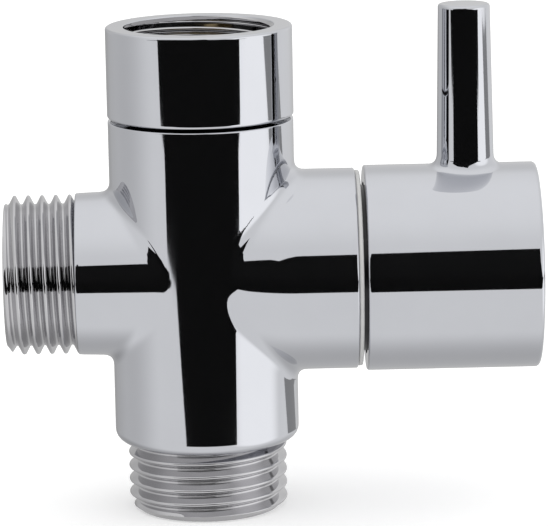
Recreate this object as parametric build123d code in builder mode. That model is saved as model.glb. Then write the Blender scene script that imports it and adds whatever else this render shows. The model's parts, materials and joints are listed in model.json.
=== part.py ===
from build123d import *
import os

# Shower tee valve in millimetres. The inlet washer's face is z = 0, the run hangs below it along -Z,
# and the valve's axis crosses the run along X, with the hose outlet at -X and the handle at +X.

# Parallel pipe thread, half inch size
thread_major_r = 10.4775
thread_depth = 1.162
outlet_thread_length = 9.3
outlet_chamfer = 0.8

# Clearances
running_gap = 0.05
swivel_gap = 0.1
seat_gap = 0.02
thread_gap = 0.05
play = 0.1

# Swivel nut, its snap ring and the washer it squeezes
nut_r = 12.2
nut_height = 11.9
nut_reach = 6.4
nut_rim_edge = 0.3
nut_foot_edge = 0.6
nut_lip = 1.4
nut_relief_depth = 0.15
nut_relief_top = 0.1
nut_mouth_r = 9.8
washer_thickness = 2.0
washer_hole_r = 6.0
snap_ring_thickness = 1.0
snap_ring_width = 1.2
snap_ring_arc = 340
snap_ring_bite = 0.6

# Tee body
shoulder_gap = 0.4
spigot_r = 8.6
spigot_edge = 0.3
run_r = 12.15
run_length = 42.7
run_top_edge = 0.4
run_foot_round = 1.5
inlet_bore_r = 6.0
outlet_bore_r = 7.0
valve_drop = 20.37
boss_r = 13.2
boss_reach = 20.05
boss_edge = 0.3
flare_length = 12.0
flare_root_r = 11.6
collar_reach = 16.72
collar_root_r = 11.2
collar_step = 0.15
branch_round = 1.3
chamber_r = 9.4
chamber_floor = 7.0
chamber_end = 10.4
seat_hole_r = 5.0
seat_wall = 5.0

# Headwork, measured along the valve's axis
headwork_thread_r = 10.0
headwork_nose_length = 4.4
headwork_flange_r = 10.9
headwork_flange = 1.6
hex_flats = 17.0
hex_length = 3.55
neck_r = 6.4
neck_length = 1.8
sleeve_r = 7.5
sleeve_bore_r = 6.5
sleeve_cover = 0.8
window_width = 7.0
window_inset = 0.3
stop_travel = 90
stop_slack = 2
o_ring_width = 1.8
o_ring_edge = 0.35
headwork_groove_r = 8.0
headwork_groove_inset = 1.4

# Ceramic discs and the seal under them
seal_thickness = 2.4
seal_r = 6.4
seal_hole_r = 5.1
disc_r = 6.4
fixed_disc_thickness = 3.0
moving_disc_thickness = 3.5
disc_lug_width = 2.6
disc_lug_r = 7.3
disc_window_inner_r = 2.2
disc_window_outer_r = 5.0
disc_window_angle = 76
drive_width = 2.3
drive_depth = 1.5
drive_length = 9.0

# Spindle
spindle_r = 4.5
stem_r = 3.0
stem_length = 3.65
collar_r = 5.2
collar_length = 1.8
stop_lug_angle = 60
stop_lug_r = 6.4
thrust_thickness = 0.8
thrust_r = 6.2
spindle_groove_r = 3.3
spindle_groove_first = 3.3
spindle_groove_spacing = 3.6
clip_thickness = 0.9
clip_r = 6.0
clip_groove_r = 3.45
clip_arc = 300
spline_start = 0.4
spline_length = 9.0
spline_root_r = 3.6
spline_tip_r = 4.1
spline_teeth = 20
spindle_tip_chamfer = 0.5

# Handle, with the lever cast on
glide_thickness = 0.6
glide_step = 0.3
handle_gap = 0.55
knob_overhang = 0.33
knob_length = 22.73
knob_end_edge = 0.5
knob_foot_edge = 0.25
knob_room = 0.43
knob_end_wall = 3.0
hub_r = 8.2
hub_gap = 0.6
insert_r = 6.0
insert_length = 9.4
insert_end_gap = 0.2
lever_offset = 13.4
lever_root_r = 3.76
lever_tip_r = 3.4
lever_height = 34.79
lever_tip_edge = 0.45
lever_foot_round = 1.2
screw_r = 2.0
screw_inset = 2.03
screw_offset = 12.0
screw_socket_flats = 2.0
screw_socket_depth = 2.5
screw_point = 0.5

# Heights and stations that follow from the sizes above
thread_minor_r = thread_major_r - thread_depth
collar_tip_r = thread_major_r + collar_step
nut_foot = nut_reach - nut_height
nut_seat = nut_foot + nut_lip
shoulder = nut_foot - shoulder_gap
spigot_top = -washer_thickness
run_foot = shoulder - run_length
lower_end = run_foot - outlet_thread_length
valve_z = shoulder - valve_drop
hose_end = -collar_reach - outlet_thread_length
snap_ring_foot = nut_seat + play
snap_ring_inner_r = spigot_r - snap_ring_bite

seal_start = -chamber_floor
fixed_start = seal_start + seal_thickness
moving_start = fixed_start + fixed_disc_thickness + seat_gap
moving_end = moving_start + moving_disc_thickness
stem_start = moving_end + seat_gap
spindle_collar = stem_start + stem_length
thrust_start = spindle_collar + collar_length
thrust_seat = thrust_start + thrust_thickness + play
sleeve_end = fixed_start - sleeve_cover
shank_start = chamber_end + play
nose_start = shank_start - headwork_nose_length
hex_start = boss_reach + headwork_flange
neck_start = hex_start + hex_length
neck_end = neck_start + neck_length
clip_start = neck_end + play
spline_x = clip_start + clip_thickness + spline_start
spindle_end = spline_x + spline_length
glide_end = boss_reach + glide_thickness
glide_r = boss_r - glide_step
knob_r = boss_r + knob_overhang
knob_start = glide_end + handle_gap
knob_end = knob_start + knob_length
hub_start = clip_start + clip_thickness + hub_gap
insert_end = hub_start + insert_length
hollow_end = knob_end - knob_end_wall
hollow_r = headwork_flange_r + knob_room
lever_x = knob_start + lever_offset
screw_x = knob_start + screw_offset
screw_length = knob_r - screw_inset - insert_r - play

# Working planes and axes
valve_axis = Axis((0, 0, valve_z), (1, 0, 0))
run_section = Plane.XZ
valve_section = Plane(origin=(0, 0, valve_z), x_dir=(1, 0, 0), z_dir=(0, -1, 0))
lower_outlet_section = Plane(origin=(0, 0, lower_end), x_dir=(0, 0, 1), z_dir=(0, 1, 0))
hose_outlet_section = Plane(origin=(hose_end, 0, valve_z), x_dir=(1, 0, 0), z_dir=(0, -1, 0))
nut_section = Plane(origin=(0, 0, 0), x_dir=(0, 0, 1), z_dir=(0, 1, 0))


def across_valve(x):
    """Plane square to the valve's axis, with its own x towards +Y and its normal towards the handle."""
    return Plane(origin=(x, 0, valve_z), x_dir=(0, 1, 0), z_dir=(1, 0, 0))


def ring_section(plane, start, end, inner_r, outer_r, edge=0):
    """Half section of a ring from start to end along the plane's x, with its corners cut by edge."""
    with BuildSketch(plane) as section:
        with Locations(((start + end) / 2, (inner_r + outer_r) / 2)):
            Rectangle(end - start, outer_r - inner_r)
        if edge:
            chamfer(section.vertices(), length=edge)
    return section.sketch


def outlet_section(plane):
    """Half section of a male outlet over its thread's crests, from its free end to the face it grows from."""
    with BuildSketch(plane) as section:
        with BuildLine():
            Polyline(
                (0, 0),
                (0, thread_major_r - outlet_chamfer),
                (outlet_chamfer, thread_major_r),
                (outlet_thread_length, thread_major_r),
                (outlet_thread_length, 0),
                close=True,
            )
        make_face()
    return section.sketch


def sector(plane, inner_r, outer_r, middle, width):
    """Part of a ring, width degrees wide around the middle angle."""
    with BuildSketch(plane) as shape:
        with BuildLine():
            outer = CenterArc((0, 0), outer_r, middle - width / 2, width)
            inner = CenterArc((0, 0), inner_r, middle - width / 2, width)
            Line(outer @ 0, inner @ 0)
            Line(outer @ 1, inner @ 1)
        make_face()
    return shape.sketch


def disc_window(x, middle):
    """One of the openings through a ceramic disc whose face is at x."""
    return sector(across_valve(x), disc_window_inner_r, disc_window_outer_r, middle, disc_window_angle)


def spline_outline(plane, growth):
    """Toothed round outline of the spindle's end, grown by a clearance all round."""
    tooth = spline_tip_r - spline_root_r
    with BuildSketch(plane) as outline:
        Circle(spline_root_r + growth)
        with PolarLocations(spline_root_r + growth, spline_teeth):
            Polygon((-tooth, -tooth), (tooth, 0), (-tooth, tooth), align=None)
    return outline.sketch


# Tee body: run, flared boss and drafted collar, blended, then the outlets, then the waterways
with BuildPart() as valve_body:
    with BuildSketch(run_section):
        with BuildLine():
            FilletPolyline(
                (0, shoulder),
                (run_r - run_top_edge, shoulder),
                (run_r, shoulder - run_top_edge),
                (run_r, run_foot),
                (0, run_foot),
                radius=[0, 0, 0, run_foot_round, 0],
                close=True,
            )
        make_face()
    revolve(axis=Axis.Z)
    with BuildSketch(valve_section):
        with BuildLine():
            flare_drop = boss_r - flare_root_r
            flare_radius = (flare_length**2 + flare_drop**2) / (2 * flare_drop)
            Polyline((flare_length, boss_r), (boss_reach, boss_r), (boss_reach, 0), (0, 0), (0, flare_root_r))
            RadiusArc((0, flare_root_r), (flare_length, boss_r), flare_radius)
        make_face()
        with BuildLine():
            Polyline(
                (0, 0),
                (0, collar_root_r),
                (-collar_reach, collar_tip_r),
                (-collar_reach, 0),
                close=True,
            )
        make_face()
    revolve(axis=valve_axis)
    branch_edges = valve_body.edges().filter_by(GeomType.BSPLINE)
    fillet(branch_edges, radius=branch_round)
    boss_rim = valve_body.edges().filter_by(GeomType.CIRCLE).sort_by(Axis.X)[-1]
    chamfer(boss_rim, length=boss_edge)
    revolve(outlet_section(hose_outlet_section), axis=valve_axis)
    revolve(outlet_section(lower_outlet_section), axis=Axis.Z)
    with BuildSketch(run_section):
        with BuildLine():
            Polyline(
                (0, shoulder - run_top_edge),
                (spigot_r, shoulder - run_top_edge),
                (spigot_r, snap_ring_foot - seat_gap),
                (snap_ring_inner_r - running_gap, snap_ring_foot - seat_gap),
                (snap_ring_inner_r - running_gap, snap_ring_foot + snap_ring_thickness + seat_gap),
                (spigot_r, snap_ring_foot + snap_ring_thickness + seat_gap),
                (spigot_r, spigot_top - spigot_edge),
                (spigot_r - spigot_edge, spigot_top),
                (0, spigot_top),
                close=True,
            )
        make_face()
    revolve(axis=Axis.Z)
    with BuildSketch(run_section):
        with BuildLine():
            Polyline(
                (0, spigot_top),
                (inlet_bore_r, spigot_top),
                (inlet_bore_r, valve_z),
                (outlet_bore_r, valve_z),
                (outlet_bore_r, lower_end),
                (0, lower_end),
                close=True,
            )
        make_face()
    revolve(axis=Axis.Z, mode=Mode.SUBTRACT)
    with BuildSketch(valve_section):
        with BuildLine():
            Polyline(
                (hose_end, 0),
                (hose_end, outlet_bore_r),
                (-chamber_floor - seat_wall, outlet_bore_r),
                (-chamber_floor - seat_wall, seat_hole_r),
                (-chamber_floor, seat_hole_r),
                (-chamber_floor, chamber_r),
                (chamber_end, chamber_r),
                (chamber_end, headwork_thread_r),
                (boss_reach, headwork_thread_r),
                (boss_reach, 0),
                close=True,
            )
        make_face()
    revolve(axis=valve_axis, mode=Mode.SUBTRACT)

# Swivel nut: plain round outside, bored over its thread's crests, with a lip that the snap ring holds
with BuildPart() as inlet_nut:
    with BuildSketch(run_section):
        relief_r = thread_major_r + nut_relief_depth
        mouth_depth = nut_mouth_r - thread_minor_r
        with BuildLine():
            Polyline(
                (spigot_r + swivel_gap, nut_foot),
                (spigot_r + swivel_gap, nut_seat),
                (relief_r, nut_seat),
                (relief_r, -nut_relief_top),
                (thread_minor_r, -nut_relief_top),
                (thread_minor_r, nut_reach - mouth_depth),
                (nut_mouth_r, nut_reach),
                (nut_r - nut_rim_edge, nut_reach),
                (nut_r, nut_reach - nut_rim_edge),
                (nut_r, nut_foot + nut_foot_edge),
                (nut_r - nut_foot_edge, nut_foot),
                close=True,
            )
        make_face()
    revolve(axis=Axis.Z)

with BuildPart() as nut_snap_ring:
    snap_ring_outer_r = snap_ring_inner_r + snap_ring_width
    snap_ring_head = snap_ring_foot + snap_ring_thickness
    snap_ring_profile = ring_section(
        nut_section, snap_ring_foot, snap_ring_head, snap_ring_inner_r, snap_ring_outer_r
    )
    revolve(snap_ring_profile, axis=Axis.Z, revolution_arc=snap_ring_arc)

with BuildPart() as inlet_washer:
    washer_r = thread_minor_r - swivel_gap
    revolve(ring_section(nut_section, spigot_top, 0, washer_hole_r, washer_r), axis=Axis.Z)

# Headwork: slotted sleeve around the discs, sealed nose, threaded shank, flange, hexagon and neck
with BuildPart() as headwork_body:
    nose_r = chamber_r - thread_gap
    shank_r = headwork_thread_r - thread_gap
    groove_start = nose_start + headwork_groove_inset
    groove_end = groove_start + o_ring_width
    with BuildSketch(valve_section):
        with BuildLine():
            Polyline(
                (sleeve_end, sleeve_bore_r),
                (sleeve_end, sleeve_r),
                (nose_start, sleeve_r),
                (nose_start, nose_r),
                (groove_start, nose_r),
                (groove_start, headwork_groove_r),
                (groove_end, headwork_groove_r),
                (groove_end, nose_r),
                (shank_start, nose_r),
                (shank_start, shank_r),
                (boss_reach, shank_r),
                (boss_reach, headwork_flange_r),
                (hex_start, headwork_flange_r),
                (hex_start, neck_r),
                (neck_end, neck_r),
                (neck_end, spindle_r + running_gap),
                (thrust_seat, spindle_r + running_gap),
                (thrust_seat, sleeve_bore_r),
                close=True,
            )
        make_face()
    revolve(axis=valve_axis)
    with BuildSketch(across_valve(hex_start)):
        RegularPolygon(hex_flats / 2, 6, major_radius=False)
        Circle(spindle_r + running_gap, mode=Mode.SUBTRACT)
    extrude(amount=hex_length)
    window_start = moving_end + window_inset
    window_length = spindle_collar - window_inset - window_start
    for window_plane in (Plane.XY, Plane.XZ):
        window_middle = Vector(window_start + window_length / 2, 0, valve_z)
        with BuildSketch(Plane(origin=window_middle, x_dir=(1, 0, 0), z_dir=window_plane.z_dir)):
            Rectangle(window_length, window_width)
        extrude(amount=sleeve_r, both=True, mode=Mode.SUBTRACT)
    slot_length = moving_start - sleeve_end
    with BuildSketch(Plane(origin=(sleeve_end + slot_length / 2, 0, valve_z), z_dir=(0, 0, 1))):
        Rectangle(slot_length, 2 * sleeve_r)
    extrude(amount=disc_lug_width / 2 + play, both=True, mode=Mode.SUBTRACT)
    free_arc = stop_lug_angle + stop_travel + 2 * stop_slack
    stop_middle = stop_travel / 2 + 180
    stop_plane = across_valve(spindle_collar)
    stop_r = (sleeve_bore_r + sleeve_r) / 2
    extrude(sector(stop_plane, collar_r + play, stop_r, stop_middle, 360 - free_arc), amount=collar_length)

with BuildPart() as headwork_o_ring:
    o_ring_inner_r = headwork_groove_r + seat_gap
    o_ring_outer_r = chamber_r - seat_gap
    headwork_seal = ring_section(
        valve_section,
        groove_start + seat_gap,
        groove_end - seat_gap,
        o_ring_inner_r,
        o_ring_outer_r,
        o_ring_edge,
    )
    revolve(headwork_seal, axis=valve_axis)

with BuildPart() as seat_seal:
    revolve(ring_section(valve_section, seal_start, fixed_start, seal_hole_r, seal_r), axis=valve_axis)

# Fixed disc: windows above and below, and two lugs that key it to the sleeve
with BuildPart() as fixed_disc:
    with BuildSketch(across_valve(fixed_start)):
        Circle(disc_r)
        Rectangle(2 * disc_lug_r, disc_lug_width)
    extrude(amount=fixed_disc_thickness)
    for middle in (90, 270):
        extrude(disc_window(fixed_start, middle), amount=fixed_disc_thickness, mode=Mode.SUBTRACT)

# Moving disc: windows a quarter turn away at rest, and a slot for the spindle's tang
with BuildPart() as moving_disc:
    with BuildSketch(across_valve(moving_start)):
        Circle(disc_r)
    extrude(amount=moving_disc_thickness)
    for middle in (90 - stop_travel, 270 - stop_travel):
        extrude(disc_window(moving_start, middle), amount=moving_disc_thickness, mode=Mode.SUBTRACT)
    with BuildSketch(across_valve(moving_end)):
        Rectangle(drive_width + 2 * running_gap, 2 * disc_r)
    extrude(amount=-drive_depth - play, mode=Mode.SUBTRACT)

# Spindle: stem and tang, collar with its stop lug, sealed shank, clip groove and splined end
with BuildPart() as spindle:
    first_groove = thrust_seat + spindle_groove_first
    second_groove = first_groove + spindle_groove_spacing
    with BuildSketch(valve_section):
        with BuildLine():
            Polyline(
                (stem_start, 0),
                (stem_start, stem_r),
                (spindle_collar, stem_r),
                (spindle_collar, collar_r),
                (thrust_start, collar_r),
                (thrust_start, spindle_r),
                (first_groove, spindle_r),
                (first_groove, spindle_groove_r),
                (first_groove + o_ring_width, spindle_groove_r),
                (first_groove + o_ring_width, spindle_r),
                (second_groove, spindle_r),
                (second_groove, spindle_groove_r),
                (second_groove + o_ring_width, spindle_groove_r),
                (second_groove + o_ring_width, spindle_r),
                (clip_start - seat_gap, spindle_r),
                (clip_start - seat_gap, clip_groove_r),
                (clip_start + clip_thickness + seat_gap, clip_groove_r),
                (clip_start + clip_thickness + seat_gap, spindle_r),
                (spline_x, spindle_r),
                (spline_x, 0),
                close=True,
            )
        make_face()
    revolve(axis=valve_axis)
    extrude(spline_outline(across_valve(spline_x), 0), amount=spline_length)
    with BuildSketch(valve_section):
        Polygon(
            (spindle_end, spline_tip_r),
            (spindle_end, spline_tip_r - spindle_tip_chamfer),
            (spindle_end - spindle_tip_chamfer, spline_tip_r),
            align=None,
        )
    revolve(axis=valve_axis, mode=Mode.SUBTRACT)
    with BuildSketch(across_valve(stem_start)):
        Rectangle(drive_width, drive_length)
    extrude(amount=-drive_depth)
    extrude(sector(stop_plane, stem_r, stop_lug_r, 0, stop_lug_angle), amount=collar_length)

with BuildPart() as spindle_o_ring_inner:
    spindle_seal_inner_r = spindle_groove_r + seat_gap
    spindle_seal_outer_r = spindle_r + running_gap - seat_gap
    inner_seal = ring_section(
        valve_section,
        first_groove + seat_gap,
        first_groove + o_ring_width - seat_gap,
        spindle_seal_inner_r,
        spindle_seal_outer_r,
        o_ring_edge,
    )
    revolve(inner_seal, axis=valve_axis)

with BuildPart() as spindle_o_ring_outer:
    outer_seal = ring_section(
        valve_section,
        second_groove + seat_gap,
        second_groove + o_ring_width - seat_gap,
        spindle_seal_inner_r,
        spindle_seal_outer_r,
        o_ring_edge,
    )
    revolve(outer_seal, axis=valve_axis)

with BuildPart() as thrust_washer:
    thrust_hole_r = spindle_r + running_gap
    thrust_end = thrust_start + thrust_thickness
    revolve(ring_section(valve_section, thrust_start, thrust_end, thrust_hole_r, thrust_r), axis=valve_axis)

with BuildPart() as spindle_clip:
    clip_hole_r = clip_groove_r + running_gap
    clip_end = clip_start + clip_thickness
    clip_profile = ring_section(valve_section, clip_start, clip_end, clip_hole_r, clip_r)
    revolve(clip_profile, axis=valve_axis, revolution_arc=clip_arc)

with BuildPart() as glide_ring:
    glide_hole_r = headwork_flange_r + swivel_gap
    revolve(ring_section(valve_section, boss_reach, glide_end, glide_hole_r, glide_r), axis=valve_axis)

# Handle: hollow knob with a lever cast on, and inside it a hub tied to the wall under lever and screw
with BuildPart() as handle:
    with BuildSketch(valve_section):
        with BuildLine():
            Polyline(
                (knob_start, 0),
                (knob_start, knob_r - knob_foot_edge),
                (knob_start + knob_foot_edge, knob_r),
                (knob_end - knob_end_edge, knob_r),
                (knob_end, knob_r - knob_end_edge),
                (knob_end, 0),
                close=True,
            )
        make_face()
    revolve(axis=valve_axis)
    lever_axis = Axis((lever_x, 0, valve_z), (0, 0, 1))
    lever_section = Plane(origin=(lever_x, 0, valve_z), x_dir=(1, 0, 0), z_dir=(0, -1, 0))
    with BuildSketch(lever_section):
        with BuildLine():
            Polyline(
                (0, hub_r),
                (lever_root_r, hub_r),
                (lever_root_r, knob_r),
                (lever_tip_r, lever_height - lever_tip_edge),
                (lever_tip_r - lever_tip_edge, lever_height),
                (0, lever_height),
                close=True,
            )
        make_face()
    revolve(axis=lever_axis)
    lever_foot = handle.edges().filter_by(GeomType.BSPLINE)
    fillet(lever_foot, radius=lever_foot_round)
    hollow = ring_section(valve_section, knob_start, hollow_end, 0, hollow_r)
    revolve(hollow, axis=valve_axis, mode=Mode.SUBTRACT)
    revolve(ring_section(valve_section, hub_start, hollow_end, 0, hub_r), axis=valve_axis)
    rib_length = (hollow_r + knob_r) / 2
    with BuildSketch(Plane(origin=(lever_x, 0, valve_z))):
        Circle(lever_tip_r)
    extrude(amount=rib_length)
    with BuildSketch(Plane(origin=(screw_x, 0, valve_z))):
        Circle(lever_tip_r)
    extrude(amount=-rib_length)
    pocket = ring_section(
        valve_section, hub_start, insert_end + insert_end_gap, 0, insert_r + seat_gap
    )
    revolve(pocket, axis=valve_axis, mode=Mode.SUBTRACT)
    with BuildSketch(Plane(origin=(screw_x, 0, valve_z))):
        Circle(screw_r + thread_gap)
    extrude(amount=-knob_r, mode=Mode.SUBTRACT)

with BuildPart() as handle_insert:
    with BuildSketch(across_valve(hub_start)):
        Circle(insert_r)
    extrude(amount=insert_length)
    extrude(spline_outline(across_valve(hub_start), running_gap), amount=insert_length, mode=Mode.SUBTRACT)

with BuildPart() as handle_set_screw:
    screw_tip = valve_z - insert_r - play
    screw_axis = Axis((screw_x, 0, valve_z), (0, 0, -1))
    with BuildSketch(Plane(origin=(screw_x, 0, screw_tip), x_dir=(1, 0, 0), z_dir=(0, -1, 0))):
        with BuildLine():
            Polyline(
                (0, 0),
                (screw_r - screw_point, 0),
                (screw_r, -screw_point),
                (screw_r, -screw_length),
                (0, -screw_length),
                close=True,
            )
        make_face()
    revolve(axis=screw_axis)
    with BuildSketch(Plane(origin=(screw_x, 0, screw_tip - screw_length))):
        RegularPolygon(screw_socket_flats / 2, 6, major_radius=False)
    extrude(amount=screw_socket_depth, mode=Mode.SUBTRACT)

os.makedirs("parts", exist_ok=True)
pieces = {
    "valve_body": valve_body,
    "inlet_nut": inlet_nut,
    "nut_snap_ring": nut_snap_ring,
    "inlet_washer": inlet_washer,
    "headwork_body": headwork_body,
    "headwork_o_ring": headwork_o_ring,
    "seat_seal": seat_seal,
    "fixed_disc": fixed_disc,
    "moving_disc": moving_disc,
    "spindle": spindle,
    "spindle_o_ring_inner": spindle_o_ring_inner,
    "spindle_o_ring_outer": spindle_o_ring_outer,
    "thrust_washer": thrust_washer,
    "spindle_clip": spindle_clip,
    "glide_ring": glide_ring,
    "handle": handle,
    "handle_insert": handle_insert,
    "handle_set_screw": handle_set_screw,
}
for name, piece in pieces.items():
    piece.part.label = name
    export_step(piece.part, f"parts/{name}.step")
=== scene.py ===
"""Dresses the shower tee valve: polished chrome with cut pipe threads, in a plain white studio."""

import json
from math import ceil, cos, hypot, pi, radians, sin, sqrt, tan, tau

import bmesh
import bpy
from bpy.props import FloatProperty, FloatVectorProperty, PointerProperty
from mathutils import Matrix, Vector

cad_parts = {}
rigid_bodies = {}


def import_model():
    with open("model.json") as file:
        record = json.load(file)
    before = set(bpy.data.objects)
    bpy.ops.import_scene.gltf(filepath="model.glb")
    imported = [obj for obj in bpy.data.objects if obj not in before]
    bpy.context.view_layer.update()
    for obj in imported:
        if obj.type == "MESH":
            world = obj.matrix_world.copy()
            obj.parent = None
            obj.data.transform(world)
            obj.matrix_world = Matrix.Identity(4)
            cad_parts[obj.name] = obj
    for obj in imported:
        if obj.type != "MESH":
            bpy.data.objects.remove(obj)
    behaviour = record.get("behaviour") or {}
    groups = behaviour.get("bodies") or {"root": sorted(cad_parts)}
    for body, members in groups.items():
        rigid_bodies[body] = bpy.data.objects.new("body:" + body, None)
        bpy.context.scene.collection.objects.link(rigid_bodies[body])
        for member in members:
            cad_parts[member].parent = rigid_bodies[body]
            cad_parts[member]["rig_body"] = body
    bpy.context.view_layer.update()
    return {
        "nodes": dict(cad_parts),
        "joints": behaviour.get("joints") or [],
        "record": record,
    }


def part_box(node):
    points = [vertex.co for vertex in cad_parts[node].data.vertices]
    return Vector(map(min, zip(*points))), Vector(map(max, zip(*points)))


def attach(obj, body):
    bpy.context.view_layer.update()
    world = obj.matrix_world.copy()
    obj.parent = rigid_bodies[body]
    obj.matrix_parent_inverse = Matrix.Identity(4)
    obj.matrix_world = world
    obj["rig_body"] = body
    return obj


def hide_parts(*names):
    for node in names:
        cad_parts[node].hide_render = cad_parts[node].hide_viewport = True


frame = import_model()

bl_info = {
    "name": "Shower Tee Valve",
    "version": (1, 0, 0),
    "blender": (4, 5, 0),
    "location": "View3D > Sidebar > Tee Valve",
    "description": "Dresses a shower tee valve and sets up its studio",
    "category": "Object",
}

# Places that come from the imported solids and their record
body_low, body_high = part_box("valve_body")
nut_low, nut_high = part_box("inlet_nut")
handle_low, handle_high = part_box("handle")
ring_low, ring_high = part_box("glide_ring")
mounts = {mount["name"]: mount for mount in frame["record"]["mounts"]}
lever_joint = next(joint for joint in frame["joints"] if joint["name"] == "lever_turn")

# How finely round shapes are made, and how near two points count as one, in metres
TURN_STEPS = 160
ROUND_STEPS = 6
WRAP_CUTS = 63
WRAP_STEPS = 6
FOOT_STEPS = 12
SAME_POINT = 1e-6

# Edges sharper than this stay hard, and a face that leans out more than this is an outer one
HARD_EDGE = radians(35)
LEANS_OUT = 0.5

# Turns that a thread runs on before its start, where it is trimmed
RUN_UP_TURNS = 1.5

# One millimetre, in metres
MM = 0.001

# Flat ring beside a round, overlap of skins, longest reach of the wrap and depth of a tucked seam
ROUND_SUPPORT = 0.1 * MM
OVERLAP = 0.3 * MM
WRAP_REACH = 40 * MM
TUCK = 0.02 * MM

# Axes and centres of the run and the valve, and the thread's radii
UP = Vector((0, 0, 1))
DOWN = Vector((0, 0, -1))
RIGHT = Vector((1, 0, 0))
LEFT = Vector((-1, 0, 0))
RUN_CENTRE = Vector((0, 0, 0))
VALVE_CENTRE = Vector(lever_joint["pos_m"])
THREAD_CREST = mounts["hose_outlet"]["dims"]["r_mm"] * MM
THREAD_ROOT = mounts["inlet"]["dims"]["r_mm"] * MM

# Places of the finishes on the tee body and the nut, after the polished chrome
THREAD_FINISH = 1
# The waterways get brass with painted shade that darkens it deeper in
WATERWAY_FINISH = 2
# The spigot, seen only through the gap under the nut, gets near black painted shade
SPIGOT_FINISH = 3


def length(name, description, millimetres):
    """A length that the user may change, given in millimetres and kept in metres."""
    return FloatProperty(
        name=name,
        description=description,
        default=millimetres * MM,
        precision=5,
        subtype="DISTANCE",
        unit="LENGTH",
    )


def colour(name, description, value):
    """A colour that the user may change."""
    return FloatVectorProperty(
        name=name, description=description, default=value, size=3, min=0, max=1, subtype="COLOR"
    )


def level(name, description, value):
    """A brightness that the user may change, where 1 is white."""
    return FloatProperty(name=name, description=description, default=value, min=0, soft_max=5)


def turn(name, description, degrees):
    """An angle that the user may change, given in degrees and kept in radians."""
    return FloatProperty(
        name=name, description=description, default=radians(degrees), subtype="ANGLE", unit="ROTATION"
    )


class ThreadSettings(bpy.types.PropertyGroup):
    """Sizes of the parallel pipe thread on the outlets and in the nut."""

    pitch: length("Pitch", "Distance from one turn to the next", 1.814)
    tip_round: length("Tip round", "Radius that rounds crests and roots", 0.2491)
    half_angle: turn("Half angle", "Slope of a flank from square to the axis", 27.5)
    outlet_length: length("Outlet length", "Length of each male thread", 9.3)
    lead_depth: length("Lead depth", "How far below the root the free end starts", 0.03)
    lead_length: length("Lead length", "Length of the taper at the free end", 0.9)
    hose_start: turn("Hose start", "Where the hose outlet's thread starts round its axis", 0)
    lower_start: turn("Lower start", "Where the lower outlet's thread starts round its axis", 50)
    nut_start: length("Nut start", "How far below the washer's face the nut's thread starts", 0.1)


class BodySettings(bpy.types.PropertyGroup):
    """Sizes of the tee body that its dressed skin follows."""

    run_radius: length("Run radius", "Radius of the upright run", 12.15)
    shoulder_gap: length("Shoulder gap", "Gap between the nut and the run's shoulder", 0.4)
    shoulder_round: length("Shoulder round", "Round at the run's upper edge", 0.2)
    foot_round: length("Foot round", "Round at the run's lower edge", 1.5)
    spigot_radius: length("Spigot radius", "Radius of the spigot under the nut", 8.6)
    snap_groove_radius: length("Snap groove radius", "Radius at the floor of the snap ring's groove", 7.9)
    flare_length: length("Flare length", "Length over which the boss swells", 12.0)
    flare_root: length("Flare root", "Radius of the boss at the run's middle", 10.4)
    boss_round: length("Boss round", "Round at the boss's edge", 0.3)
    boss_bore: length("Boss bore", "Radius of the bore that holds the headwork", 10.0)
    collar_root: length("Collar root", "Radius of the collar at the run's middle", 11.2)
    collar_step: length("Collar step", "How far the collar's end stands above the thread", 0.15)
    collar_round: length("Collar round", "Round at the collar's end", 0.25)
    branch_blend: length("Branch blend", "Width in which boss, collar and run flow into each other", 1.5)
    bore_radius: length("Bore radius", "Radius of both outlets' bores", 7.0)
    bore_round: length("Bore round", "Round at the mouth of each outlet's bore", 0.3)


class NutSettings(bpy.types.PropertyGroup):
    """Sizes of the swivel nut."""

    rim_round: length("Rim round", "Round at the upper outer edge", 0.35)
    foot_round: length("Foot round", "Round at the lower outer edge", 0.35)
    mouth_radius: length("Mouth radius", "Radius where the thread opens at the rim", 9.8)
    mouth_round: length("Mouth round", "Round between the rim and the mouth", 0.15)
    lip_radius: length("Lip radius", "Radius of the hole round the spigot", 8.7)
    lip_height: length("Lip height", "Height of the lip that the snap ring holds", 1.4)
    relief_radius: length("Relief radius", "Radius of the relief below the thread", 10.63)


class HandleSettings(bpy.types.PropertyGroup):
    """Sizes of the knob and its lever."""

    end_round: length("End round", "Round at the knob's outer edge", 0.55)
    foot_round: length("Foot round", "Round at the knob's inner edge", 0.28)
    lever_offset: length("Lever offset", "Distance from the knob's inner edge to the lever's axis", 13.4)
    lever_root: length("Lever root", "Radius of the lever where it leaves the knob", 3.76)
    lever_tip: length("Lever tip", "Radius of the lever at its end", 3.4)
    lever_blend: length("Lever blend", "Width in which the lever flows into the knob", 1.5)
    cast_round: length("Cast round", "Round that the solid has at the lever's foot", 1.2)
    foot_reach: length("Foot reach", "How far the lever's foot spreads over the knob", 2.4)
    foot_height: length("Foot height", "How far the lever's foot climbs up the lever", 2.4)
    lever_tip_round: length("Lever tip round", "Round at the lever's end", 0.4)
    hollow_radius: length("Hollow radius", "Radius of the hollow in the knob", 11.33)
    ring_hole: length("Ring hole", "Radius of the glide ring's hole", 11.0)
    ring_round: length("Ring round", "Round at the glide ring's outer edges", 0.2)


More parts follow.
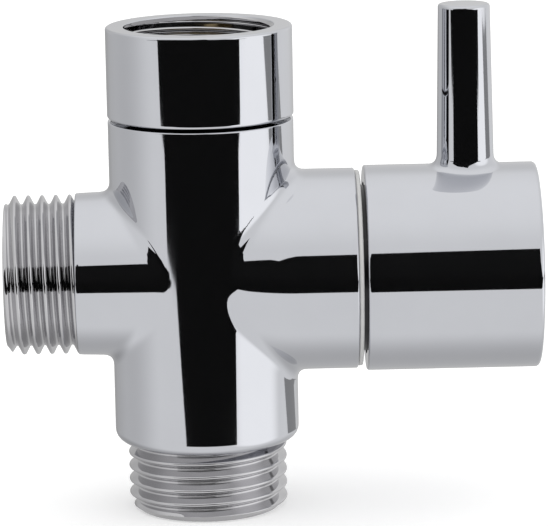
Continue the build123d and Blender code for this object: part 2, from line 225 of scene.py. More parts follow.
class FinishSettings(bpy.types.PropertyGroup):
    """Colours of the finishes."""

    chrome: colour("Chrome", "Polished chrome plate", (0.552, 0.561, 0.592))
    cut_chrome: colour("Cut chrome", "Chrome plate on the cut threads", (0.505, 0.502, 0.515))
    plastic: colour("Plastic", "Pale plastic of the glide ring and the inner bushes", (0.64, 0.64, 0.63))
    rubber: colour("Rubber", "Black rubber of the seals", (0.03, 0.03, 0.03))
    brass: colour("Brass", "Turned brass of the headwork and the waterways", (0.58, 0.46, 0.25))
    # Painted shade laid over the waterways' brass, fuller the deeper it lies
    painted_depth_shade: colour("Stain", "Brass that water has darkened, deep in the waterways", (0.06, 0.045, 0.025))
    # Painted shade, near black, for the gaps under the nut and under the knob
    painted_gap_shade: colour("Grease", "Dark grease under the nut and under the knob", (0.012, 0.012, 0.013))
    ceramic: colour("Ceramic", "Lapped ceramic of the discs", (0.88, 0.87, 0.82))
    steel: colour("Steel", "Spring steel of clips and screw", (0.5, 0.5, 0.5))


class StudioSettings(bpy.types.PropertyGroup):
    """Sizes and levels of the studio."""

    floor_size: length("Floor size", "Width and depth of the floor", 6000)
    floor_colour: colour("Floor colour", "Colour of the floor", (0.9, 0.9, 0.9))
    floor_glow: level("Floor glow", "Light that the camera sees the floor give", 0.3)
    room_level: level("Room level", "Brightness of the white room", 0.97)
    flag_distance: length("Flag distance", "Distance of the black flag in front", 2000)
    flag_shade: level("Flag shade", "Lightness of the black flag", 0.01)
    right_gain: level("Right gain", "Light that the room adds on the right in front", 0.43)
    strip_level: level("Strip level", "Brightness of the dark strip on the right", 0.33)
    top_gain: level("Top gain", "Light that the room adds overhead", 0.15)
    left_loss: level("Left loss", "Light that the room lacks behind on the left", 0.28)
    under_loss: level("Under loss", "Light that the room lacks below and behind", 0.36)
    back_loss: level("Back loss", "Light that the room lacks behind", 0.2)
    camera_distance: length("Camera distance", "Distance of the camera in front", 502.5)
    camera_height: length("Camera height", "Height of the camera", 74.4)
    camera_side: length("Camera side", "Sideways place of the camera", 0.98)
    camera_yaw: turn("Camera yaw", "Turn of the camera to the right", 0.917)
    camera_pitch: turn("Camera pitch", "Tilt of the camera downwards", 11.173)
    camera_roll: turn("Camera roll", "Roll of the camera", -1.089)


# Shapes


def arc_steps(arc):
    """Angles from 0 up to an arc, in even steps."""
    return [arc * step / ROUND_STEPS for step in range(ROUND_STEPS + 1)]


def quarter_round(radius, station, size):
    """Outline round an outer edge, from the wall at this radius to the end face at this station."""
    steps = arc_steps(pi / 2)
    arc = [(radius - size + size * cos(angle), station - size + size * sin(angle)) for angle in steps]
    return [(radius, station - size - ROUND_SUPPORT), *arc, (radius - size - ROUND_SUPPORT, station)]


def lower_round(radius, station, size):
    """The same round at a lower edge, from the end face at this station to the wall at this radius."""
    upper = quarter_round(radius, -station, size)
    return [(reach, -height) for reach, height in reversed(upper)]


def bore_round(radius, station, size):
    """Outline round the mouth of a bore, from the end face at this station into the bore."""
    steps = arc_steps(pi / 2)
    arc = [(radius + size - size * sin(angle), station - size + size * cos(angle)) for angle in steps]
    return [(radius + size + ROUND_SUPPORT, station), *arc]


def split_place(point, centre, axis):
    """Direction away from an axis, distance from it and station along it, for a point."""
    offset = point - centre
    station = offset.dot(axis)
    outward = offset - axis * station
    return outward.normalized(), outward.length, station


def turned(centre, axis, outline):
    """Turns an outline of (radius, station) points about an axis. The outside is on the right of its walk."""
    bm = bmesh.new()
    out = axis.orthogonal().normalized()
    verts = [bm.verts.new(centre + out * radius + axis * station) for radius, station in outline]
    edges = [bm.edges.new(pair) for pair in zip(verts, verts[1:])]
    sample = edges[len(edges) // 2]
    near, far = (split_place(vert.co, centre, axis) for vert in sample.verts)
    outward = out * (far[2] - near[2]) - axis * (far[1] - near[1])
    bmesh.ops.spin(
        bm, geom=verts + edges, cent=centre, axis=axis, angle=tau, steps=TURN_STEPS, use_merge=True
    )
    bm.normal_update()
    if sample.link_faces[0].normal.dot(outward) < 0:
        bmesh.ops.reverse_faces(bm, faces=bm.faces)
    bmesh.ops.remove_doubles(bm, verts=bm.verts, dist=SAME_POINT)
    return bm


def trim(bm, place, direction):
    """Cuts away what lies past a plane."""
    parts = bm.verts[:] + bm.edges[:] + bm.faces[:]
    bmesh.ops.bisect_plane(
        bm, geom=parts, dist=SAME_POINT / 10, plane_co=place, plane_no=direction, clear_outer=True
    )


def thread_outline(thread):
    """One turn of the thread in half section, from root to root, as (radius, station) points."""
    steps = arc_steps(pi / 2 - thread.half_angle)
    rise = thread.tip_round
    root = [(THREAD_ROOT + rise * (1 - cos(angle)), rise * sin(angle)) for angle in steps]
    crest = [
        (THREAD_CREST - rise * (1 - cos(angle)), thread.pitch / 2 - rise * sin(angle))
        for angle in reversed(steps)
    ]
    half = root + crest
    return half + [(radius, thread.pitch - station) for radius, station in reversed(half[:-1])]


def cut_thread(thread, centre, axis, start, end, angle, outside):
    """Screws one turn's outline along an axis, repeats it turn on turn and trims both ends square."""
    bm = bmesh.new()
    first = start - RUN_UP_TURNS * thread.pitch
    turns = ceil((end - first) / thread.pitch) + 1
    out = Matrix.Rotation(angle, 3, axis) @ axis.orthogonal().normalized()
    places = [(radius, first + station) for radius, station in thread_outline(thread)]
    verts = [bm.verts.new(centre + out * radius + axis * station) for radius, station in places]
    edges = [bm.edges.new(pair) for pair in zip(verts, verts[1:])]
    climb = axis * thread.pitch
    bmesh.ops.spin(
        bm, geom=verts + edges, cent=centre, axis=axis, dvec=climb / TURN_STEPS, angle=tau, steps=TURN_STEPS
    )
    one_turn = bm.verts[:] + bm.edges[:] + bm.faces[:]
    for count in range(1, turns):
        copied = bmesh.ops.duplicate(bm, geom=one_turn)["geom"]
        copied_verts = [part for part in copied if isinstance(part, bmesh.types.BMVert)]
        bmesh.ops.translate(bm, verts=copied_verts, vec=climb * count)
    bmesh.ops.remove_doubles(bm, verts=bm.verts, dist=SAME_POINT)
    bm.normal_update()
    lean = sum(face.normal.dot(split_place(face.calc_center_median(), centre, axis)[0]) for face in bm.faces)
    if (lean > 0) != outside:
        bmesh.ops.reverse_faces(bm, faces=bm.faces)
    trim(bm, centre + axis * start, -axis)
    trim(bm, centre + axis * end, axis)
    for face in bm.faces:
        face.material_index = THREAD_FINISH
    return bm


def end_outline(radius, cut, station, edge, inner):
    """Outline of a rounded end whose start lies under the skin that was cut there."""
    wall = [(radius - TUCK, cut - OVERLAP), (radius, cut - OVERLAP / 2), (radius, cut - OVERLAP / 4)]
    return wall + quarter_round(radius, station, edge) + [(inner, station)]


def rounded_ends(cuts, ends):
    """The turned ends that close a skin where it was cut."""
    return [
        turned(centre, axis, end_outline(radius, cut, station, edge, inner))
        for (centre, axis, cut), (radius, station, edge, inner) in zip(cuts, ends)
    ]


def limit_radius(bm, centre, axis, lowest, highest):
    """Moves points square to an axis until they keep within two radii, which are given by station."""
    for vert in bm.verts:
        away, radius, station = split_place(vert.co, centre, axis)
        vert.co += away * (min(max(radius, lowest(station)), highest(station)) - radius)


def cad_copy(node, keeps, material_index=0):
    """A merged copy of a CAD node's mesh with only the faces that pass a test."""
    bm = bmesh.new()
    bm.from_mesh(frame["nodes"][node].data)
    bmesh.ops.remove_doubles(bm, verts=bm.verts, dist=SAME_POINT)
    bmesh.ops.delete(bm, geom=[face for face in bm.faces if not keeps(face)], context="FACES")
    for face in bm.faces:
        face.material_index = material_index
    return bm


def joined(parts):
    """One bmesh that holds several, in order."""
    whole = bmesh.new()
    for part in parts:
        mesh = bpy.data.meshes.new("part")
        part.to_mesh(mesh)
        part.free()
        whole.from_mesh(mesh)
        bpy.data.meshes.remove(mesh)
    return whole


def wall_slope(away, axis, growth, gap):
    """Slope and gap of a turned wall whose radius grows along its axis, from the radial gap."""
    steep = hypot(1, growth)
    return (away - axis * growth) / steep, gap / steep


def soft_blend(first, second, width):
    """Slope and gap of two surfaces that flow into each other, less so where they lean alike."""
    (first_slope, first_gap), (second_slope, second_gap) = first, second
    width = width * sqrt(max(1 - first_slope.dot(second_slope), 0)) + SAME_POINT
    share = max(1 - abs(first_gap - second_gap) / width, 0)
    gap = min(first_gap, second_gap) - width * share**2 / 4
    weight = share / 2 if first_gap < second_gap else 1 - share / 2
    return first_slope * (1 - weight) + second_slope * weight, gap


def wrapped(centre, surface):
    """A finely divided cube whose points are drawn out from a centre onto a surface."""
    bm = bmesh.new()
    bmesh.ops.create_cube(bm, size=2)
    bmesh.ops.subdivide_edges(bm, edges=bm.edges, cuts=WRAP_CUTS, use_grid_fill=True)
    for vert in bm.verts:
        sight = Vector([tan(part * pi / 4) for part in vert.co]).normalized()
        reach = WRAP_REACH
        for _ in range(WRAP_STEPS):
            slope, gap = surface(centre + sight * reach)
            reach = min(reach - gap / max(slope.dot(sight), SAME_POINT), WRAP_REACH)
        vert.co = centre + sight * reach
    return bm


def settle(vert, surface):
    """Moves a point square onto a surface."""
    for _ in range(WRAP_STEPS):
        slope, gap = surface(vert.co)
        vert.co -= slope * (gap / slope.length_squared)


def place_piece(name, bm, node, materials, true_normal=None):
    """Makes the dressed piece that stands for a CAD node, shaded smooth with its hard edges kept."""
    for face in bm.faces:
        face.smooth = True
    for edge in bm.edges:
        edge.smooth = len(edge.link_faces) < 2 or edge.calc_face_angle(0) < HARD_EDGE
    mesh = bpy.data.meshes.new(name)
    bm.to_mesh(mesh)
    bm.free()
    for material in materials:
        mesh.materials.append(material)
    if true_normal:
        mesh.normals_split_custom_set_from_vertices([true_normal(vert) for vert in mesh.vertices])
    piece = bpy.data.objects.new(name, mesh)
    bpy.context.scene.collection.objects.link(piece)
    body = frame["nodes"][node]["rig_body"]
    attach(piece, body)
    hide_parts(node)


# Finishes


def new_finish(name):
    """An empty material with its shader, a noise on Object coordinates and a bump ready to use."""
    material = bpy.data.materials.new(name)
    material.use_nodes = True
    nodes, links = material.node_tree.nodes, material.node_tree.links
    shader = nodes["Principled BSDF"]
    place = nodes.new("ShaderNodeTexCoord")
    noise = nodes.new("ShaderNodeTexNoise")
    bump = nodes.new("ShaderNodeBump")
    links.new(place.outputs["Object"], noise.inputs["Vector"])
    links.new(noise.outputs["Fac"], bump.inputs["Height"])
    links.new(bump.outputs["Normal"], shader.inputs["Normal"])
    return material, nodes, links, shader, noise, bump


def set_grain(noise, bump, scale, detail, strength, depth):
    """Sets how fine the noise is and how high it stands."""
    noise.inputs["Scale"].default_value = scale
    noise.inputs["Detail"].default_value = detail
    bump.inputs["Strength"].default_value = strength
    bump.inputs["Distance"].default_value = depth


def vary_colour(nodes, links, shader, noise, base, spread):
    """Lets a colour wander a little with the noise."""
    mix = nodes.new("ShaderNodeMix")
    mix.data_type = "RGBA"
    mix.inputs["A"].default_value = (*[part * (1 - spread) for part in base], 1)
    mix.inputs["B"].default_value = (*[min(part * (1 + spread), 1) for part in base], 1)
    links.new(noise.outputs["Fac"], mix.inputs["Factor"])
    links.new(mix.outputs["Result"], shader.inputs["Base Color"])


def vary_roughness(nodes, links, shader, noise, smoothest, roughest):
    """Lets the roughness wander with the noise."""
    spread = nodes.new("ShaderNodeMapRange")
    spread.inputs["To Min"].default_value = smoothest
    spread.inputs["To Max"].default_value = roughest
    links.new(noise.outputs["Fac"], spread.inputs["Value"])
    links.new(spread.outputs["Result"], shader.inputs["Roughness"])


def chrome_finish(name, base, spread, smoothest, roughest, waviness):
    """Chrome plate: mirror bright, with faint polishing haze and the slight waves of buffed brass below."""
    material, nodes, links, shader, noise, bump = new_finish(name)
    shader.inputs["Metallic"].default_value = 1
    set_grain(noise, bump, scale=160, detail=3, strength=waviness, depth=0.02 * MM)
    vary_colour(nodes, links, shader, noise, base, spread)
    vary_roughness(nodes, links, shader, noise, smoothest, roughest)
    return material


def matt_finish(name, base, grain, smoothest, roughest, depth):
    """Plastic, rubber, ceramic or the near black painted shade of the gaps: a fine grain in colour, gloss and
    height.
    """
    material, nodes, links, shader, noise, bump = new_finish(name)
    set_grain(noise, bump, scale=grain, detail=4, strength=0.3, depth=depth)
    vary_colour(nodes, links, shader, noise, base, spread=0.08)
    vary_roughness(nodes, links, shader, noise, smoothest, roughest)
    return material


def distance_mask(nodes, links, weights, start, end):
    """A mask that goes from 0 to 1 between two distances from the valve's centre, along weighted axes."""
    place = nodes.new("ShaderNodeTexCoord")
    offset = nodes.new("ShaderNodeVectorMath")
    offset.operation = "SUBTRACT"
    offset.inputs[1].default_value = VALVE_CENTRE
    across = nodes.new("ShaderNodeVectorMath")
    across.operation = "MULTIPLY"
    across.inputs[1].default_value = weights
    distance = nodes.new("ShaderNodeVectorMath")
    distance.operation = "LENGTH"
    cover = nodes.new("ShaderNodeMapRange")
    cover.inputs["From Min"].default_value = start
    cover.inputs["From Max"].default_value = end
    links.new(place.outputs["Object"], offset.inputs[0])
    links.new(offset.outputs["Vector"], across.inputs[0])
    links.new(across.outputs["Vector"], distance.inputs[0])
    links.new(distance.outputs["Value"], cover.inputs["Value"])
    return cover.outputs["Result"]


def cover_colour(nodes, links, shader, mask, covering):
    """Lays another colour over the finish where the mask is 1."""
    mix = nodes.new("ShaderNodeMix")
    mix.data_type = "RGBA"
    mix.inputs["B"].default_value = (*covering, 1)
    links.new(mask, mix.inputs["Factor"])
    links.new(shader.inputs["Base Color"].links[0].from_socket, mix.inputs["A"])
    links.new(mix.outputs["Result"], shader.inputs["Base Color"])


def turned_finish(name, base):
    """Turned metal: fine tool marks, with a dull bloom over them."""
    material, nodes, links, shader, noise, bump = new_finish(name)
    shader.inputs["Metallic"].default_value = 1
    set_grain(noise, bump, scale=900, detail=2, strength=0.2, depth=0.05 * MM)
    vary_colour(nodes, links, shader, noise, base, spread=0.06)
    vary_roughness(nodes, links, shader, noise, smoothest=0.22, roughest=0.4)
    return material


def gap_shade_finish(name, base, painted_gap_shade):
    """Turned metal with near black painted shade, not metallic, on the rim that stands out past the boss's
    bore, under the knob.
    """
    material = turned_finish(name, base)
    nodes, links = material.node_tree.nodes, material.node_tree.links
    shader = nodes["Principled BSDF"]
    # Painted shade: near black and not metallic on the rim, in the gap under the knob
    rim = distance_mask(nodes, links, weights=(0, 1, 1), start=10.3 * MM, end=10.7 * MM)
    cover_colour(nodes, links, shader, rim, painted_gap_shade)
    bare = nodes.new("ShaderNodeMapRange")
    bare.inputs["To Min"].default_value = 1
    bare.inputs["To Max"].default_value = 0
    links.new(rim, bare.inputs["Value"])
    links.new(bare.outputs["Result"], shader.inputs["Metallic"])
    return material


def depth_shade_finish(name, base, painted_depth_shade):
    """Turned metal with painted shade that darkens it more the deeper it lies in the body."""
    material = turned_finish(name, base)
    nodes, links = material.node_tree.nodes, material.node_tree.links
    # Painted shade: none from 27 mm out from the valve's centre, full within 11 mm
    deep = distance_mask(nodes, links, weights=(1, 1, 1), start=27 * MM, end=11 * MM)
    cover_colour(nodes, links, nodes["Principled BSDF"], deep, painted_depth_shade)
    return material


def finish_for(context, slot):
    """The finish of a slot or of a place on a piece, made the first time that it is asked for."""
    name = f"{slot}_finish"
    if name in bpy.data.materials:
        return bpy.data.materials[name]
    colours = context.scene.tee_finish
    makers = {
        "polished_chrome": lambda: chrome_finish(
            name, colours.chrome, spread=0.03, smoothest=0.02, roughest=0.05, waviness=0.05
        ),
        "cut_chrome": lambda: chrome_finish(
            name, colours.cut_chrome, spread=0.12, smoothest=0.03, roughest=0.1, waviness=0.3
        ),
        # Near black painted shade for the gaps under the nut and under the knob
        "painted_gap_shade": lambda: matt_finish(
            name, colours.painted_gap_shade, grain=500, smoothest=0.3, roughest=0.6, depth=0.05 * MM
        ),
        "pale_plastic": lambda: matt_finish(
            name, colours.plastic, grain=700, smoothest=0.3, roughest=0.45, depth=0.02 * MM
        ),
        "black_rubber": lambda: matt_finish(
            name, colours.rubber, grain=900, smoothest=0.6, roughest=0.8, depth=0.05 * MM
        ),
        "white_ceramic": lambda: matt_finish(
            name, colours.ceramic, grain=1200, smoothest=0.2, roughest=0.35, depth=0.01 * MM
        ),
        "turned_brass": lambda: turned_finish(name, colours.brass),
        # Brass with painted shade on the rim seen in the gap under the knob
        "headwork_brass_gap_shade": lambda: gap_shade_finish(name, colours.brass, colours.painted_gap_shade),
        # Brass with painted shade that darkens it deeper in the waterways
        "waterway_brass_depth_shade": lambda: depth_shade_finish(name, colours.brass, colours.painted_depth_shade),
        "spring_steel": lambda: turned_finish(name, colours.steel),
    }
    return makers[slot]()


# Pieces


class TEE_VALVE_OT_inner_pieces(bpy.types.Operator):
    """Gives each solid the finish of its slot, and the headwork a rim with painted shade"""

    bl_idname = "tee_valve.inner_pieces"
    bl_label = "Finish Inner Pieces"

    def execute(self, context):
        # The headwork's rim, seen in the gap under the knob, gets painted shade
        special = {"headwork_body": "headwork_brass_gap_shade"}
        for part in frame["record"]["subparts"]:
            solid = frame["nodes"][part["node"]]
            finish = special.get(part["node"], part["material_slot"])
            solid.data.materials.clear()
            solid.data.materials.append(finish_for(context, finish))
        return {"FINISHED"}


class TEE_VALVE_OT_body(bpy.types.Operator):
    """Dresses the tee body with rounded ends, cut threads and bare waterways"""

    bl_idname = "tee_valve.body"
    bl_label = "Tee Body"

    def execute(self, context):
        size = context.scene.tee_body
        thread = context.scene.tee_thread
        shoulder = nut_low.z - size.shoulder_gap
        foot = -body_low.z - thread.outlet_length
        collar_end = -body_low.x - thread.outlet_length
        collar_tip = THREAD_CREST + size.collar_step
        boss_end, boss_radius = body_high.x, body_high.y
        cuts = [
            (RUN_CENTRE, UP, shoulder - size.shoulder_round - OVERLAP),
            (RUN_CENTRE, DOWN, foot - size.foot_round - OVERLAP),
            (VALVE_CENTRE, RIGHT, boss_end - size.boss_round - OVERLAP),
            (VALVE_CENTRE, LEFT, collar_end - size.collar_round - OVERLAP),
        ]
        ends = [
            (size.run_radius, shoulder, size.shoulder_round, size.spigot_radius),
            (size.run_radius, foot, size.foot_round, THREAD_ROOT - TUCK),
            (boss_radius, boss_end, size.boss_round, size.boss_bore),
            (collar_tip, collar_end, size.collar_round, THREAD_ROOT - TUCK),
        ]
        outlets = [
            (RUN_CENTRE, DOWN, foot, -body_low.z, thread.lower_start),
            (VALVE_CENTRE, LEFT, collar_end, -body_low.x, thread.hose_start),
        ]
        least_from_valve = (size.boss_bore + THREAD_CREST) / 2
        least_from_run = (size.spigot_radius + THREAD_CREST) / 2

        def on_skin(face):
            middle = face.calc_center_median()
            from_valve = split_place(middle, VALVE_CENTRE, RIGHT)[1]
            from_run = split_place(middle, RUN_CENTRE, UP)[1]
            return from_valve > least_from_valve and from_run > least_from_run

        def on_spigot(face):
            middle = face.calc_center_median()
            return middle.z > shoulder - SAME_POINT and middle.xy.length > size.snap_groove_radius

        def in_waterway(face):
            middle = face.calc_center_median()
            for centre, axis, start, end, _ in outlets:
                distance, station = split_place(middle, centre, axis)[1:]
                if station > start:
                    return distance <= size.bore_radius and station < end - size.bore_round
            return not on_skin(face) and not on_spigot(face)

        flare_drop = boss_radius - size.flare_root
        flare_radius = (size.flare_length**2 + flare_drop**2) / (2 * flare_drop)
        collar_growth = (size.collar_root - collar_tip) / collar_end

        def surface(point):
            away, distance = split_place(point, RUN_CENTRE, UP)[:2]
            run = away, distance - size.run_radius
            away, distance, along = split_place(point, VALVE_CENTRE, RIGHT)
            collar_radius = size.collar_root + collar_growth * along
            collar = wall_slope(away, RIGHT, collar_growth, distance - collar_radius)
            ahead = min(max(size.flare_length - along, 0), flare_radius / 2)
            drop = sqrt(flare_radius**2 - ahead**2)
            boss = wall_slope(away, RIGHT, ahead / drop, distance - boss_radius + flare_radius - drop)
            return soft_blend(run, soft_blend(boss, collar, size.branch_blend), size.branch_blend)

        skin = wrapped(VALVE_CENTRE, surface)
        for centre, axis, station in cuts:
            trim(skin, centre + axis * station, axis)
        skin_count = len(skin.verts)
        # The waterways' brass gets painted shade, darker deeper in
        waterway = cad_copy("valve_body", in_waterway, WATERWAY_FINISH)
        # The spigot, seen in the gap under the nut, gets near black painted shade
        spigot = cad_copy("valve_body", on_spigot, SPIGOT_FINISH)
        parts = [skin, waterway, spigot, *rounded_ends(cuts, ends)]
        lead_radius = THREAD_ROOT - thread.lead_depth
        lead_growth = (THREAD_CREST - lead_radius) / thread.lead_length
        for centre, axis, start, end, angle in outlets:
            spiral = cut_thread(thread, centre, axis, start, end, angle, True)
            limit_radius(
                spiral,
                centre,
                axis,
                lambda station: 0,
                lambda station: lead_radius + (end - station) * lead_growth,
            )
            mouth = [
                (lead_radius + TUCK, end),
                *bore_round(size.bore_radius, end, size.bore_round),
                (size.bore_radius, end - 2 * size.bore_round),
            ]
            parts += [spiral, turned(centre, axis, mouth)]
        bm = joined(parts)

        def true_normal(vert):
            slope, gap = surface(vert.co)
            known = vert.index < skin_count or abs(gap) < SAME_POINT
            return slope.normalized() if known else Vector((0, 0, 0))

        # Chrome, cut chrome, waterway brass with painted shade, and near black painted shade on the spigot
        slots = ("polished_chrome", "cut_chrome", "waterway_brass_depth_shade", "painted_gap_shade")
        finishes = [finish_for(context, slot) for slot in slots]
        place_piece("tee_body", bm, "valve_body", finishes, true_normal)
        return {"FINISHED"}


class TEE_VALVE_OT_nut(bpy.types.Operator):
    """Dresses the swivel nut with a rounded rim and foot and a cut thread"""

    bl_idname = "tee_valve.nut"
    bl_label = "Swivel Nut"

    def execute(self, context):
        size = context.scene.tee_nut
        thread = context.scene.tee_thread
        radius, top, bottom = nut_high.x, nut_high.z, nut_low.z
        seat = bottom + size.lip_height
        thread_top = top - size.mouth_round
        outline = [
            (THREAD_ROOT, -thread.nut_start),
            (size.relief_radius, -thread.nut_start),
            (size.relief_radius, seat),
            (size.lip_radius, seat),
            (size.lip_radius, bottom),
            *lower_round(radius, bottom, size.foot_round),
            *quarter_round(radius, top, size.rim_round),
            *bore_round(size.mouth_radius, top, size.mouth_round),
        ]
        spiral = cut_thread(thread, RUN_CENTRE, UP, -thread.nut_start, thread_top, 0, False)
        limit_radius(
            spiral,
            RUN_CENTRE,
            UP,
            lambda station: size.mouth_radius - (thread_top - station),
            lambda station: size.mouth_radius + (thread_top - station) + TUCK,
        )
        bm = joined([turned(RUN_CENTRE, UP, outline), spiral])
        finishes = [finish_for(context, slot) for slot in ("polished_chrome", "cut_chrome")]
        place_piece("swivel_nut", bm, "inlet_nut", finishes)
        return {"FINISHED"}


class TEE_VALVE_OT_handle(bpy.types.Operator):
    """Dresses the knob and its lever with rounded edges and a soft foot"""

    bl_idname = "tee_valve.handle"
    bl_label = "Handle"

    def execute(self, context):
        size = context.scene.tee_handle
        radius, start, end = handle_high.y, handle_low.x, handle_high.x
        lever_top = handle_high.z - VALVE_CENTRE.z
        lever_centre = VALVE_CENTRE + RIGHT * (start + size.lever_offset)
        cuts = [
            (VALVE_CENTRE, RIGHT, end - size.end_round - OVERLAP),
            (VALVE_CENTRE, LEFT, -start - size.foot_round - OVERLAP),
        ]
        ends = [
            (radius, end, size.end_round, 0),
            (radius, -start, size.foot_round, size.hollow_radius),
        ]
        least_from_valve = (radius + size.hollow_radius) / 2
        lever_growth = (size.lever_tip - size.lever_root) / (lever_top - radius)
        foot_top = radius + size.foot_height

        def on_skin(face):
            middle = face.calc_center_median()
            away, distance = split_place(middle, VALVE_CENTRE, RIGHT)[:2]
            if middle.z < VALVE_CENTRE.z:
                return face.normal.dot(away) > LEANS_OUT and distance > least_from_valve
            from_lever = split_place(middle, lever_centre, UP)[1]
            return distance > least_from_valve and from_lever > size.lever_root + size.cast_round

        def in_hollow(face):
            middle = face.calc_center_median()
            distance = split_place(middle, VALVE_CENTRE, RIGHT)[1]
            above = middle.z > VALVE_CENTRE.z and distance > least_from_valve
            return not above and not on_skin(face) and start + SAME_POINT < middle.x < end - SAME_POINT

        def surface(point):
            away, distance = split_place(point, VALVE_CENTRE, RIGHT)[:2]
            knob = away, distance - radius
            away, distance, height = split_place(point, lever_centre, UP)
            lever_radius = size.lever_root + lever_growth * (height - radius)
            lever = wall_slope(away, UP, lever_growth, distance - lever_radius)
            return soft_blend(knob, lever, size.lever_blend)

        skin = cad_copy("handle", on_skin)
        for centre, axis, station in cuts:
            trim(skin, centre + axis * station, axis)
        skin_count = len(skin.verts)

        foot_steps = [step / FOOT_STEPS for step in range(FOOT_STEPS + 1)]
        spread = [(size.lever_root + size.foot_reach * (1 - part), radius) for part in foot_steps]
        climb = [(size.lever_root, radius + size.foot_height * part) for part in foot_steps[1:]]
        tip = quarter_round(size.lever_tip, lever_top, size.lever_tip_round)
        lever = turned(lever_centre, UP, [*spread, *climb, *tip, (0, lever_top)])
        for vert in lever.verts:
            distance, height = split_place(vert.co, lever_centre, UP)[1:]
            if height < foot_top + SAME_POINT:
                settle(vert, surface)
                if distance > size.lever_root + size.foot_reach - SAME_POINT:
                    vert.co += (VALVE_CENTRE - vert.co).normalized() * TUCK
        lever_count = skin_count + len(lever.verts)
        bm = joined([skin, lever, cad_copy("handle", in_hollow), *rounded_ends(cuts, ends)])

        def true_normal(vert):
            if vert.index < skin_count:
                return split_place(vert.co, VALVE_CENTRE, RIGHT)[0]
            if vert.index < lever_count and vert.co.z - VALVE_CENTRE.z < foot_top + SAME_POINT:
                return surface(vert.co)[0].normalized()
            return Vector((0, 0, 0))

        place_piece("lever_knob", bm, "handle", [finish_for(context, "polished_chrome")], true_normal)
        return {"FINISHED"}


class TEE_VALVE_OT_ring(bpy.types.Operator):
    """Dresses the glide ring with softened edges"""

    bl_idname = "tee_valve.ring"
    bl_label = "Glide Ring"

    def execute(self, context):
        size = context.scene.tee_handle
        radius, start, end = ring_high.y, ring_low.x, ring_high.x
        outline = [
            (size.ring_hole, start),
            *lower_round(radius, start, size.ring_round),
            *quarter_round(radius, end, size.ring_round),
            (size.ring_hole, end),
            (size.ring_hole, start),
        ]
        bm = turned(VALVE_CENTRE, RIGHT, outline)
        place_piece("pale_glide_ring", bm, "glide_ring", [finish_for(context, "pale_plastic")])
        return {"FINISHED"}


# Studio


def towards(azimuth, elevation):
    """Direction from the object, with azimuth 0 towards the camera and growing to the right, in degrees."""
    across, up = radians(azimuth), radians(elevation)
    return Vector((sin(across) * cos(up), -cos(across) * cos(up), sin(up)))


def plain_finish(name, base, glow):
    """A matt finish for the stage, which may glow by itself."""
    material = bpy.data.materials.new(name)
    material.use_nodes = True
    shader = material.node_tree.nodes["Principled BSDF"]
    shader.inputs["Base Color"].default_value = (*base, 1)
    shader.inputs["Roughness"].default_value = 1
    shader.inputs["Specular IOR Level"].default_value = 0
    shader.inputs["Emission Color"].default_value = (1, 1, 1, 1)
    shader.inputs["Emission Strength"].default_value = glow
    return material


def stage_object(name, bm, material):
    """Makes an object of the stage."""
    mesh = bpy.data.meshes.new(name)
    bm.to_mesh(mesh)
    bm.free()
    mesh.materials.append(material)
    made = bpy.data.objects.new(name, mesh)
    bpy.context.scene.collection.objects.link(made)
    return made


def new_card(name, facing, distance, corners, shade, glow):
    """A flat card that the metal mirrors and the camera doesn't see, with its corners as directions."""
    square = towards(*facing)
    bm = bmesh.new()
    sights = [towards(*corner) for corner in corners]
    verts = [bm.verts.new(VALVE_CENTRE + sight * (distance / sight.dot(square))) for sight in sights]
    bm.faces.new(verts)
    card = stage_object(name, bm, plain_finish(name, (shade, shade, shade), glow))
    card.visible_camera = False
    card.visible_diffuse = False
    card.visible_shadow = False


def white_room(studio):
    """A white room, brighter above and right, darker left, below and behind, plain white to the camera."""
    world = bpy.data.worlds.new("white_room")
    bpy.context.scene.world = world
    world.use_nodes = True
    nodes, links = world.node_tree.nodes, world.node_tree.links
    sight = nodes.new("ShaderNodeTexCoord").outputs["Generated"]
    # Middle of each lobe, the leans towards it at which it starts and is full, and the light that it adds
    lobes = [
        (towards(0, 90), 0.5, 1, studio.top_gain),
        (towards(66, -8), 0.78, 0.95, studio.right_gain),
        (towards(-125, -5), 0.4, 1, -studio.left_loss),
        (towards(180, -50), 0.45, 1, -studio.under_loss),
        (towards(180, 8), 0.75, 1, -studio.back_loss),
    ]
    total = None
    for direction, start, end, amount in lobes:
        lean = nodes.new("ShaderNodeVectorMath")
        lean.operation = "DOT_PRODUCT"
        lean.inputs[1].default_value = direction
        links.new(sight, lean.inputs[0])
        share = nodes.new("ShaderNodeMapRange")
        share.interpolation_type = "SMOOTHSTEP"
        share.inputs["From Min"].default_value = start
        share.inputs["From Max"].default_value = end
        share.inputs["To Max"].default_value = amount
        links.new(lean.outputs["Value"], share.inputs["Value"])
        add = nodes.new("ShaderNodeMath")
        add.inputs[0].default_value = studio.room_level
        if total:
            links.new(total, add.inputs[0])
        links.new(share.outputs["Result"], add.inputs[1])
        total = add.outputs["Value"]
    seen = nodes.new("ShaderNodeMix")
    seen.inputs["B"].default_value = 1
    links.new(nodes.new("ShaderNodeLightPath").outputs["Is Camera Ray"], seen.inputs["Factor"])
    links.new(total, seen.inputs["A"])
    background = nodes["Background"]
    background.inputs["Color"].default_value = (1, 1, 1, 1)
    links.new(seen.outputs["Result"], background.inputs["Strength"])


def pale_floor(studio):
    """A pale floor that keeps a faint shadow and meets the room's white, and that no metal mirrors."""
    bm = bmesh.new()
    place = Matrix.Translation((0, 0, body_low.z))
    bmesh.ops.create_grid(bm, x_segments=1, y_segments=1, size=studio.floor_size / 2, matrix=place)
    material = plain_finish("floor", studio.floor_colour, 0)
    nodes, links = material.node_tree.nodes, material.node_tree.links
    path = nodes.new("ShaderNodeLightPath")
    glow = nodes.new("ShaderNodeMath")
    glow.operation = "MULTIPLY"
    glow.inputs[1].default_value = studio.floor_glow
    links.new(path.outputs["Is Camera Ray"], glow.inputs[0])
    links.new(glow.outputs["Value"], nodes["Principled BSDF"].inputs["Emission Strength"])
    floor = stage_object("floor", bm, material)
    floor.visible_glossy = False


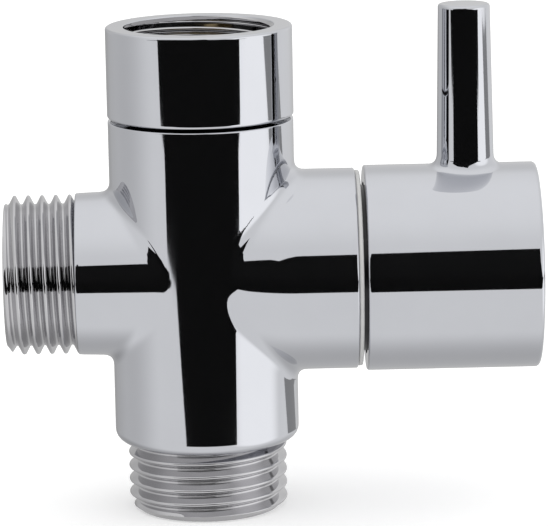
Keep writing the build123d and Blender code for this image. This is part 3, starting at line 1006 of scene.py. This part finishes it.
def photo_camera(studio):
    """A camera at the photograph's place, with a long lens."""
    # Picture's width, focal length, lens axis and picture's middle, all in pixels of the photograph
    image_width, focal_pixels = 550, 3888
    middle_across, middle_down = 272.1, 259.0
    frame_across, frame_down = 275.0, 263.0
    data = bpy.data.cameras.new("camera")
    data.sensor_fit = "HORIZONTAL"
    data.sensor_width = 36
    data.lens = focal_pixels / image_width * data.sensor_width
    data.shift_x = (frame_across - middle_across) / image_width
    data.shift_y = (middle_down - frame_down) / image_width
    data.clip_start = 10 * MM
    camera = bpy.data.objects.new("camera", data)
    place = Matrix.Translation((studio.camera_side, -studio.camera_distance, studio.camera_height))
    aim = Matrix.Rotation(-studio.camera_yaw, 4, "Z") @ Matrix.Rotation(pi / 2 - studio.camera_pitch, 4, "X")
    camera.matrix_world = place @ aim @ Matrix.Rotation(studio.camera_roll, 4, "Z")
    bpy.context.scene.collection.objects.link(camera)
    bpy.context.scene.camera = camera


class TEE_VALVE_OT_studio(bpy.types.Operator):
    """Sets up the floor, the white room, the cards that the chrome mirrors and the camera"""

    bl_idname = "tee_valve.studio"
    bl_label = "Studio"

    def execute(self, context):
        studio = context.scene.tee_studio
        white_room(studio)
        pale_floor(studio)
        photo_camera(studio)
        # Corners as azimuth and elevation in degrees. Those past 52 are there for the lever alone
        flag = [
            (-52, 6),
            (-52, -4),
            (-66, -4.6),
            (-66, -6.2),
            (-60, -6.95),
            (-52, -7.05),
            (-50, -8.7),
            (-46, -9.2),
            (-45.5, -10.9),
            (-35, -11.5),
            (-26, -14.4),
            (37, -14.4),
            (39, -11.7),
            (46, -10.5),
            (47, -9.2),
            (50, -8.7),
            (51, -7.05),
            (58, -6.95),
            (61, -6),
            (61, -5),
            (44, -5),
            (25, 3),
            (12, 12),
            (7.5, 28),
            (3, 26),
            (-4, 23.5),
            (-9, 20.5),
            (-14, 22),
            (-30, 20),
        ]
        new_card("front_flag", (0, 0), studio.flag_distance, flag, studio.flag_shade, 0)
        strip = [(82, -6), (108, -6), (158, -15), (128, -15)]
        new_card("dark_strip", (118, 0), studio.flag_distance, strip, 0, studio.strip_level)
        context.scene.view_settings.view_transform = "Standard"
        return {"FINISHED"}


class TEE_VALVE_PT_panel(bpy.types.Panel):
    """Lists the valve's pieces and the studio"""

    bl_idname = "TEE_VALVE_PT_panel"
    bl_label = "Tee Valve"
    bl_space_type = "VIEW_3D"
    bl_region_type = "UI"
    bl_category = "Tee Valve"

    def draw(self, context):
        for operator in OPERATORS:
            self.layout.operator(operator.bl_idname)


SETTINGS = {
    "tee_thread": ThreadSettings,
    "tee_body": BodySettings,
    "tee_nut": NutSettings,
    "tee_handle": HandleSettings,
    "tee_finish": FinishSettings,
    "tee_studio": StudioSettings,
}
OPERATORS = (
    TEE_VALVE_OT_inner_pieces,
    TEE_VALVE_OT_body,
    TEE_VALVE_OT_nut,
    TEE_VALVE_OT_handle,
    TEE_VALVE_OT_ring,
    TEE_VALVE_OT_studio,
)
CLASSES = (*SETTINGS.values(), *OPERATORS, TEE_VALVE_PT_panel)


def register():
    """Adds the classes and the scene's settings."""
    for cls in CLASSES:
        bpy.utils.register_class(cls)
    for name, group in SETTINGS.items():
        setattr(bpy.types.Scene, name, PointerProperty(type=group))


def unregister():
    """Takes the settings and the classes away again."""
    for name in SETTINGS:
        delattr(bpy.types.Scene, name)
    for cls in reversed(CLASSES):
        bpy.utils.unregister_class(cls)


def main():
    """Dresses the valve and sets up the studio."""
    register()
    bpy.ops.tee_valve.inner_pieces()
    bpy.ops.tee_valve.body()
    bpy.ops.tee_valve.nut()
    bpy.ops.tee_valve.handle()
    bpy.ops.tee_valve.ring()
    bpy.ops.tee_valve.studio()


if __name__ == "__main__":
    main()
